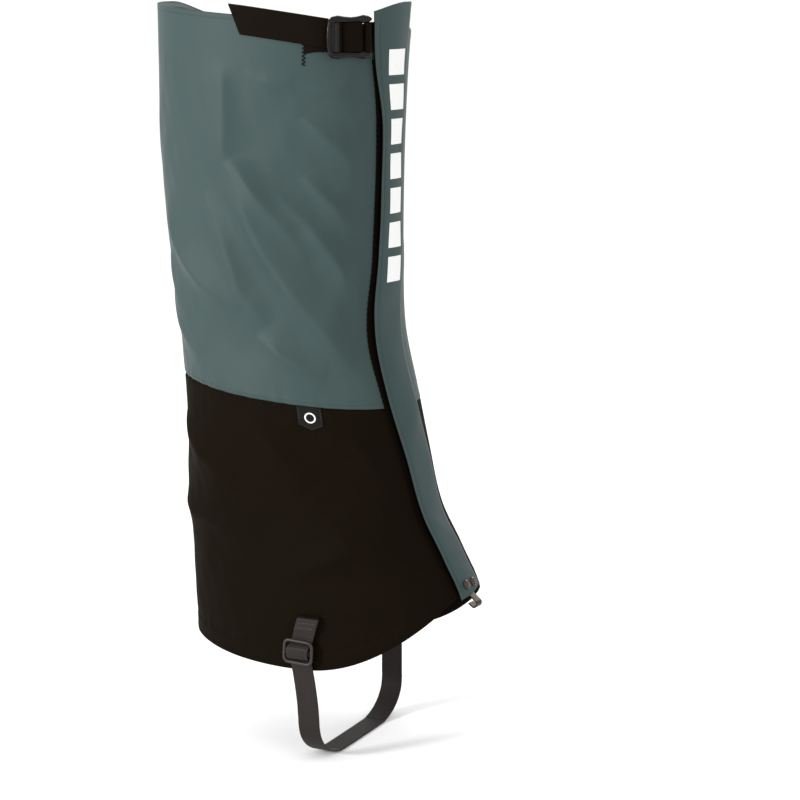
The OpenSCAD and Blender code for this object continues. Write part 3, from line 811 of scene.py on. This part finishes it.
# Sewn rows: above the colour seam, below the rim, above the hem, down the heel
ROUND = np.linspace(0, 1, 400)
whole_angles = mix(at_y(2.5, 250), 360 + at_y(-2.5, 250), ROUND)
heel_heights = np.linspace(268, 470, 160)
rim_angles = mix(at_y(3, RIM_Z), 360 + at_y(-3, RIM_Z), ROUND)
teal_rows = [cloth_run(whole_angles, mid_seam(whole_angles) + EDGE_STITCH, FABRIC_T + 0.12),
             cloth_run(rim_angles, rim(rim_angles) - 3.4, FABRIC_T + 0.15)]
for side in (-1, 1):
    teal_rows.append(cloth_run(180 + side * 1.5 + 0 * heel_heights, heel_heights,
                               FABRIC_T + 0.05))
seams_teal = threads("teal_seam_stitches", teal_rows, radius=0.11)
on_leg(seams_teal, "thread_teal", "thread")
heel_low = np.linspace(90, 250, 130)
black_rows = [cloth_run(whole_angles, hem(whole_angles) + HEM_STITCH, FABRIC_T + 0.05),
              cloth_run(whole_angles, hem(whole_angles) + EDGE_STITCH, FABRIC_T + 0.05)]
for side in (-1, 1):
    black_rows.append(cloth_run(180 + side * 1.5 + 0 * heel_low, heel_low, FABRIC_T + 0.05))
seams_black = threads("black_seam_stitches", black_rows, radius=0.17)
on_leg(seams_black, "thread", "thread")

# --- Label ---

LABEL_FROM, LABEL_TO = -74, -62


def label_low(a):
    point = 1 - np.abs(2 * (a - LABEL_FROM) / (LABEL_TO - LABEL_FROM) - 1)
    return mid_seam(a) - 12.5 - 3.5 * point


def label_place(u, v, d):
    a = mix(LABEL_FROM, LABEL_TO, u)
    low, high = label_low(a), mid_seam(a) - 0.2
    return cloth(a, mix(low, high, v), d + 0.25 * ease((0.9 - v) / 0.9))


label = slab("woven_label_patch", label_place, 24, 20, FABRIC_T + 0.05, 1.4, roll=0.3)
on_leg(label, "label", "tape", "woven_label")


def ring_place(radius_in, radius_out):
    def place(u, v, d):
        middle = (LABEL_FROM + LABEL_TO) / 2
        turn = 2 * np.pi * u
        reach = mix(radius_out, radius_in, v)
        a = middle + reach * np.cos(turn) / 1.31
        return cloth(a, mid_seam(middle) - 7.4 + reach * np.sin(turn), d)
    return place


mark = slab("label_ring", ring_place(2.6, 3.6), 72, 2, 1.5, 1.85, roll=0.1)
on_leg(mark, "print", "print", "label_mark")
label_edge = np.linspace(LABEL_FROM + 0.8, LABEL_TO - 0.8, 30)
label_rows = [cloth_run(label_edge, label_low(label_edge) + 1.1, 1.55)]
for a in (LABEL_FROM + 0.8, LABEL_TO - 0.8):
    heights = np.linspace(float(label_low(a)) + 1.5, float(mid_seam(a)) - 0.6, 16)
    label_rows.append(cloth_run(a + 0 * heights, heights, 1.5))
on_leg(threads("label_stitches", label_rows, radius=0.12, stitch=1.5, pitch=2.0),
       "thread_grey", "thread")

# --- Front flap: one layer along its sewn edge, where the real flap bends when it opens ---

HINGE_END = (0.09, -0.0022, 0.30)


def on_flap(obj, material, slot, *nodes):
    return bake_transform(finish_piece(obj, material, slot, *nodes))


def stiff_share(z):
    """Share of the flap's width, from its free edge, that lies before the bending zone."""
    free = curve(FREE_LINE, z)
    return (HINGE_END[1] / MM - 0.4 - free) / (curve(SEWN_LINE, z) - free)


def flap_facing_place(u, v, d):
    """The facing stops short of the bending zone, where the flap is one layer."""
    z = flap_z(u * 0.7, v)
    return flap_point(u * stiff_share(z), z, d)


# The flap's upright rows of stitches, as shares of its width
FREE_ROW_U, SEWN_ROW_U = 0.085, 0.93


def flap_outer_place(u, v, d):
    """The outer fabric, folded over the facing's edges."""
    z = flap_z(u, v)
    turned = 0.25 * np.exp(-u * 26) + 0.25 * np.exp(-(1 - v) * 120) + 0.25 * np.exp(-v * 120)
    groove = 0.22 * bump(u - FREE_ROW_U, 0.022)
    return flap_point(u, z, d + turned - groove)


flap_sheet = slab("front_flap_fabric", flap_outer_place, 40, 300, 0.42, 1.15, roll=0.35)
on_flap(flap_sheet, "upper_fabric", "upper_fabric", "front_flap")
facing = slab("flap_facing_fabric", flap_facing_place, 30, 240, 0, 0.38, roll=0.2)
on_flap(facing, "lower_fabric", "lower_fabric", "flap_facing")


def hook_tape_place(u, v, d):
    z = mix(TAPE_FOOT_Z, HOOK_TAPE_TOP_Z, v)
    free = curve(FREE_LINE, z)
    w = mix(1.5, 19.5, u) / (curve(SEWN_LINE, z) - free)
    w = np.minimum(w, stiff_share(z) - 0.02 * (1 - u))
    return flap_point(w, z, d + 0.1 * np.sin(z * 2.4) * np.sin(u * 36))


hooks = slab("hook_tape_pile", hook_tape_place, 20, 240, -1.0, -0.05, roll=0.3)
on_flap(hooks, "tape", "tape", "hook_tape")

# The print: blocks one above the other, in place of the lettering
BLOCK_COUNT, BLOCK_FOOT_Z, BLOCK_PITCH, BLOCK_H = 7, 326, 23, 17
for k in range(BLOCK_COUNT):
    def block_place(u, v, d, base=BLOCK_FOOT_Z + BLOCK_PITCH * k):
        return flap_point(mix(0.26, 0.72, u), base + v * BLOCK_H, d)
    block = slab("print_block_%d" % (k + 1), block_place, 10, 12, 1.1, 1.24, roll=0.1)
    on_flap(block, "print", "print", "flap_reflective_print")


def flap_run(u, heights, d):
    points = flap_point(u, heights, d)
    return points, flap_point(u, heights, d + 1) - points


flap_heights = np.linspace(117, 502, 300)
flap_rows = [flap_run(np.full(len(flap_heights), FREE_ROW_U), flap_heights, 1.1),
             flap_run(np.full(len(flap_heights), SEWN_ROW_U), flap_heights + 3, 1.12)]
for height in (115.5, 504):
    u = np.linspace(0.1, 0.92, 40)
    slope = (3 * u) if height < 300 else (5.5 * u + 2.5 * np.sin(np.pi * u) - 1)
    flap_rows.append(flap_run(u, height + slope, 1.12))
on_flap(threads("flap_stitches", flap_rows, radius=0.15), "thread_teal", "thread")

# --- Top strap ---


def on_skin(a, z, d):
    """Station of upright webbing on the tube: its lower and its upper edge."""
    a = np.asarray(a, float)
    return np.concatenate([skin(a, z - STRAP_W / 2, d), skin(a, z + STRAP_W / 2, d)], -1)


LOCK_A = -28.5
LOCK_Z = 489.5
ANCHOR_AT = skin(LOCK_A, LOCK_Z, 4.7)[:2]
LIP_AT = skin(-51.5, LOCK_Z, 8.5)[:2]
LOCK_DIR = (ANCHOR_AT - LIP_AT) / np.linalg.norm(ANCHOR_AT - LIP_AT)
OUT_DIR = np.array([LOCK_DIR[1], -LOCK_DIR[0]])


def lock_point(p, height=0.0):
    """Point of the ladder lock: x along it from the anchor bar, y away from the leg."""
    at = ANCHOR_AT + p[0] * LOCK_DIR + p[1] * OUT_DIR
    return np.array([at[0], at[1], LOCK_Z + height])


def lock_station(p):
    return np.concatenate([lock_point(p, -STRAP_W / 2), lock_point(p, STRAP_W / 2)])


ring_angles = np.arange(float(at_y(11, RIM_Z)), 360 + EXIT_A - 3, 5)
hidden_strap = strip("top_strap_in_tunnel",
                     on_skin(ring_angles, tunnel_mid(ring_angles), -1.15), STRAP_T,
                     step=1.0, rib=0)
on_leg(hidden_strap, "webbing", "webbing", "top_strap")
load_a = np.array([-63, -61.5, -60, -58.5, -57, -54.5, -50, -45, -39, -34.5])
load_d = np.array([-1.15, -1.0, -0.2, 0.8, 1.45, 1.75, 1.8, 1.8, 1.8, 1.8])
load_mid = mix(tunnel_mid(EXIT_A), LOCK_Z, ease((load_a - EXIT_A + 8) / 14))
load_strap = strip("top_strap_load_side", on_skin(load_a, load_mid, load_d), STRAP_T)
finish_piece(load_strap, "webbing", "webbing", "top_strap")
(skin(-52, LOCK_Z, 1.8) * MM).tolist()
(skin(-37, LOCK_Z, 1.8) * MM).tolist()
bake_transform(load_strap)

# The anchor loop runs under the flap, round the anchor bar and back
LOOP_R = 2.0
THIN_WEBBING_T = 0.8
under = [on_skin(at_y(y, LOCK_Z), LOCK_Z, 1.35) for y in range(6, -27, -4)]
around = [lock_station((3.6, -3.2)), lock_station((1.8, -2.5))]
around += [lock_station((LOOP_R * math.cos(t), LOOP_R * math.sin(t)))
           for t in np.radians(np.arange(-100, -301, -20))]
around += [lock_station(p) for p in ((2.3, 0.7), (3.3, -0.5), (4.6, -1.9))]
over = [on_skin(at_y(y, LOCK_Z), LOCK_Z, 2.4) for y in range(-26, -7, 4)]
anchor = strip("buckle_anchor_webbing", under + around + over, THIN_WEBBING_T)
on_leg(anchor, "webbing", "webbing", "buckle_anchor_loop")

LOOP_PATH = ((-6.4, -2.1), (-5.2, -1.9), (-4.4, -1.2), (-4.1, 0), (-4.5, 1), (-5.4, 1.75),
             (-7.2, 2.1), (-10.6, 2.15), (-14.1, 2.1), (-15.9, 1.6), (-17, 0.5), (-17.6, -0.8),
             (-18.6, -1.7), (-20.2, -2.05), (-22.4, -2.1))
threaded = strip("top_strap_through_lock", [lock_station(p) for p in LOOP_PATH], STRAP_T)
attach(finish_piece(threaded, "webbing", "webbing", "top_strap_loop"), "buckle")

TAIL_FROM, TAIL_TO, TAIL_SLANT = -48.6, -87.6, 4.3


def tail_rows():
    """Stations of the free end, whose cut end slants."""
    rows = []
    for u in np.linspace(1, 0, 26):
        ends = []
        for v in (0, 1):
            a = mix(TAIL_TO - TAIL_SLANT * v, TAIL_FROM, u)
            t = (a - TAIL_FROM) / (TAIL_TO - TAIL_FROM)
            z = mix(492, 500.5, t) + (v - 0.5) * STRAP_W
            ends.append(skin(a, z, mix(4.15, 1.8, ease(t * 2.2))))
        rows.append(np.concatenate(ends))
    return rows


tail = strip("top_strap_free_end", tail_rows(), STRAP_T)
finish_piece(tail, "webbing", "webbing", "top_strap_tail")
(skin(-50.5, 491, 4) * MM).tolist()
(skin(-68, 495, 2.5) * MM).tolist()
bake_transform(tail)

# Ladder lock: waisted side rails, a hollow lip and the bars between them
LIP_BOW = ((-9.6, 2.7, -28.0), (-5, 2.95, -28.9), (0, 3.05, -29.1), (5, 2.95, -28.9),
           (9.6, 2.7, -28.0))
lock_rods = [[(0, 0, h, 1.45) for h in (-11.5, -4, 4, 11.5)],
             [(-21.2, 0.7, h, 1.2) for h in (-11, -4, 4, 11)],
             [(x, y, h, 1.25) for h, y, x in LIP_BOW]]
for x in np.linspace(-13.4, -7.8, 5):
    lock_rods.append([(x, 0.15, h, 1.1) for h in (-11, 0, 11)])
for x, y in ((-22.8, 0.7), (-24.2, 1.0), (-25.6, 1.4), (-27.0, 1.9), (-28.2, 2.5)):
    lock_rods.append([(x, y, h, 0.65) for h in (-10, 0, 10)])
RAIL = ((1.1, 0.2, 11.5, 2.0), (-2.6, 0.1, 11.5, 2.8), (-7, 0.3, 11.3, 2.0),
        (-12, 0.6, 11.0, 1.85), (-17, 0.9, 11.3, 2.0), (-21.6, 1.3, 11.8, 2.25),
        (-25.6, 2.0, 11.4, 1.95), (-28.0, 2.7, 10.1, 1.4))
for side in (-1, 1):
    lock_rods.append([(x, y, side * h, r) for x, y, h, r in RAIL])


def on_lock(points):
    """Lock coordinates to the CAD's frame: x along the lock, y outward, z up."""
    plan = ANCHOR_AT + points[:, :1] * LOCK_DIR + points[:, 1:2] * OUT_DIR
    return np.concatenate([plan, LOCK_Z + points[:, 2:]], -1)


lock = moulding("ladder_lock_moulding", lock_rods, on_lock)
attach(finish_piece(lock, "buckle_plastic", "buckle_plastic", "ladder_lock"), "buckle")

# Bar tack that closes the tunnel beside the slit: a dense zigzag
TACK_TURNS, TACK_FOOT_Z, TACK_PITCH, TACK_SWING = 16, 471, 1.25, 1.2
zig = np.arange(TACK_TURNS)
zig_z = TACK_FOOT_Z + zig * TACK_PITCH
zig_a = EXIT_A - 0.6 + TACK_SWING * (-1.0) ** zig
zig_points, zig_out = cloth_run(zig_a, zig_z, FABRIC_T + 0.3)
tack_rows = [(zig_points[k:k + 2], zig_out[k:k + 2]) for k in range(len(zig) - 1)]
tack = threads("strap_exit_zigzag", tack_rows, radius=0.34, stitch=2.8, pitch=1.3)
on_leg(tack, "thread", "thread", "strap_exit_bartack")

# --- Instep strap ---

SIDE_Y = 62.8
SLIDER_Z = 77
INSTEP_W = 16
INSTEP_T = 1.0
SOLE_R = 24
SOLE_REACH = 36
STRAP_OUT = 1.6
STRAP_LEAN = ((0, 0), (23, -2), (38, -3), (51, -4.6), (66, -6.8), (77, -8.5), (86, -6.1),
              (94, -3.6), (102, -1.1), (110, 1))


def side_point(v, out):
    """Point of the outer side: v above the slider's middle, out outside the panel."""
    return [float(curve(STRAP_LEAN, SLIDER_Z + v)), -SIDE_Y - out, SLIDER_Z + v]


def band_rows(path, width):
    """Stations of a band whose width lies along X."""
    path = np.array(path, float)
    low, high = path.copy(), path.copy()
    low[:, 0] -= width / 2
    high[:, 0] += width / 2
    return np.concatenate([low, high], -1)


TAB_PATH = ((25, 1.75), (20, 1.75), (12, 1.75), (8, 1.7), (5, 2.6), (3.6, 4.4), (2.7, 5.6),
            (1.5, 6.05), (-1.5, 6.05), (-2.4, 5.7), (-2.75, 4.8), (-2.4, 3.9), (-1.5, 3.55),
            (1, 3.4), (3, 2.35), (6.5, 0.85), (12, 0.8), (20, 0.8), (25, 0.8))
tab = strip("instep_tab_webbing",
            band_rows([side_point(*p) for p in TAB_PATH], INSTEP_W - 1), THIN_WEBBING_T,
            step=0.3)
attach(finish_piece(tab, "webbing", "webbing", "instep_tab"), "instep_loop")

inner_y = SIDE_Y + 1
centre_y = SIDE_Y + STRAP_OUT - SOLE_REACH
strap_path = [[0, inner_y, z] for z in range(100, 29, -10)]
strap_path += [[0, inner_y - SOLE_REACH + SOLE_REACH * math.cos(t),
                SOLE_R - INSTEP_T / 2 + SOLE_R * math.sin(t)]
               for t in np.radians(np.arange(0, -91, -15))]
for t in np.radians(np.arange(-90, -181, -15)):
    level = SOLE_R - INSTEP_T / 2 + SOLE_R * math.sin(t)
    strap_path.append([float(curve(STRAP_LEAN, level)),
                       -centre_y + SOLE_REACH * math.cos(t), level])
STRAP_SIDE = ((-47, 1.6), (-38, 1.6), (-28, 1.6), (-18, 1.9), (-12, 2.4), (-8, 2.7),
              (-6.1, 3.2), (-5.2, 4.6), (-4.3, 6), (-3, 6.85), (-1.4, 7.1), (1.6, 7.1),
              (3.1, 6.6), (4.5, 5.1), (5.5, 3.9), (6.5, 3.05), (8.4, 2.7), (13, 2.7),
              (18, 2.7), (22, 2.7), (23.1, 3), (23.5, 3.3), (23.1, 3.7), (22, 3.85),
              (15, 3.85))
strap_path += [side_point(*p) for p in STRAP_SIDE]
instep = strip("instep_strap_webbing", band_rows(strap_path, INSTEP_W), INSTEP_T, step=0.4,
               rib=1.2, rib_high=0.05)
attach(finish_piece(instep, "instep_webbing", "instep_webbing", "instep_strap"),
        "instep_loop")

# Slider: a soft-cornered frame round a flat centre bar
SLIDER_OUT = 5.1
half_w, half_h, corner = 10.3, 7.6, 3.4
loop_points = []
for sx, sy, start in ((1, 1, 0), (-1, 1, 90), (-1, -1, 180), (1, -1, 270)):
    for t in np.radians(np.arange(start, start + 91, 15)):
        loop_points.append((sx * (half_w - corner) + corner * math.cos(t),
                            sy * (half_h - corner) + corner * math.sin(t)))
loop_points.append(loop_points[0])
slider_rods = [[(x, 0, h, 1.18) for x, h in loop_points]]
for h in (-1.4, -0.7, 0, 0.7, 1.4):
    slider_rods.append([(x, 0.25, h, 0.6) for x in (-10, 0, 10)])


def on_side(points):
    """Slider coordinates to the CAD's frame."""
    centre = np.array([float(curve(STRAP_LEAN, SLIDER_Z)), -SIDE_Y - SLIDER_OUT, SLIDER_Z])
    flat = points * [1, 1.08, 1]
    tilt = math.radians(3)
    x = flat[:, 0] * math.cos(tilt) + flat[:, 2] * math.sin(tilt)
    z = flat[:, 2] * math.cos(tilt) - flat[:, 0] * math.sin(tilt)
    return centre + np.stack([x, flat[:, 1], z], -1)


slider = moulding("strap_slider_moulding", slider_rods, on_side, voxel=0.25)
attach(finish_piece(slider, "slider_plastic", "buckle_plastic", "strap_slider"),
        "instep_loop")

stitch_runs = []
across = np.linspace(-6.5, 6.5, 20)
for row in (17, 20.5):
    line = np.array([np.array(side_point(row, 4.45)) + [x, 0, 0] for x in across])
    stitch_runs.append((line, np.tile([0.0, -1.0, 0.0], (len(across), 1))))
    line = np.array([[x, SIDE_Y + STRAP_OUT, SLIDER_Z + row - 5] for x in across])
    stitch_runs.append((line, np.tile([0.0, 1.0, 0.0], (len(across), 1))))
strap_sewing = threads("instep_strap_stitches", stitch_runs, radius=0.2, stitch=1.9,
                       pitch=2.5)
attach(finish_piece(strap_sewing, "thread_grey", "thread", "strap_stitching"),
        "instep_loop")

# --- CAD pieces that stay: the lace hook and its rivets ---

CAD_FINISH = (("lace_hook", "hook_metal", 0.12), ("lace_hook_rivets", "rivet_metal", 0.05))
for node, material, radius in CAD_FINISH:
    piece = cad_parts[node]
    piece.data.materials.clear()
    piece.data.materials.append(MATERIALS[material])
    for face in piece.data.polygons:
        face.use_smooth = True
    piece.data.set_sharp_from_angle(angle=math.radians(35))
    edge = piece.modifiers.new("soft_edges", "BEVEL")
    edge.width = radius * MM
    edge.segments = 3
    edge.limit_method = "ANGLE"
    edge.angle_limit = math.radians(35)
    edge.harden_normals = True

# --- Stage, light and camera ---

def area_light(name, at, target, size, power):
    data = bpy.data.lights.new(name, "AREA")
    data.energy = power
    data.shape = "DISK"
    data.size = size
    lamp = bpy.data.objects.new(name, data)
    bpy.context.scene.collection.objects.link(lamp)
    lamp.location = at
    lamp.rotation_euler = (Vector(target) - Vector(at)).to_track_quat("-Z", "Y").to_euler()


FLOOR_Z = -0.0012
FLOOR_HALF = 30.0
floor_mesh = bpy.data.meshes.new("studio_floor")
floor_mesh.from_pydata([(-FLOOR_HALF, -FLOOR_HALF, FLOOR_Z), (FLOOR_HALF, -FLOOR_HALF, FLOOR_Z),
                        (FLOOR_HALF, FLOOR_HALF, FLOOR_Z), (-FLOOR_HALF, FLOOR_HALF, FLOOR_Z)],
                       [], [(0, 1, 2, 3)])
floor = bpy.data.objects.new("studio_floor", floor_mesh)
bpy.context.scene.collection.objects.link(floor)
floor_mesh.materials.append(shader("pale_floor", (0.95, 0.95, 0.95), 0.8, 0.1)[0])

world = bpy.data.worlds.new("studio_world")
world.use_nodes = True
world.node_tree.nodes["Background"].inputs["Color"].default_value = (1, 1, 1, 1)
world.node_tree.nodes["Background"].inputs["Strength"].default_value = 1.08
bpy.context.scene.world = world
bpy.context.scene.view_settings.view_transform = "Standard"
MIDDLE = (-0.02, 0.0, 0.27)
area_light("key_light", (-1.45, -2.05, 0.95), MIDDLE, 0.5, 56)
area_light("front_light", (1.6, -1.5, 0.9), MIDDLE, 1.2, 9)
area_light("back_light", (0.4, 2.2, 1.6), MIDDLE, 1.2, 14)

camera_data = bpy.data.cameras.new("camera")
camera_data.lens = CAMERA_LENS
camera_data.sensor_width = SENSOR
camera = bpy.data.objects.new("camera", camera_data)
bpy.context.scene.collection.objects.link(camera)
camera.location = CAMERA_AT
camera.rotation_euler = (Vector(CAMERA_TARGET) - Vector(CAMERA_AT)).to_track_quat(
    "-Z", "Y").to_euler()
bpy.context.scene.camera = camera
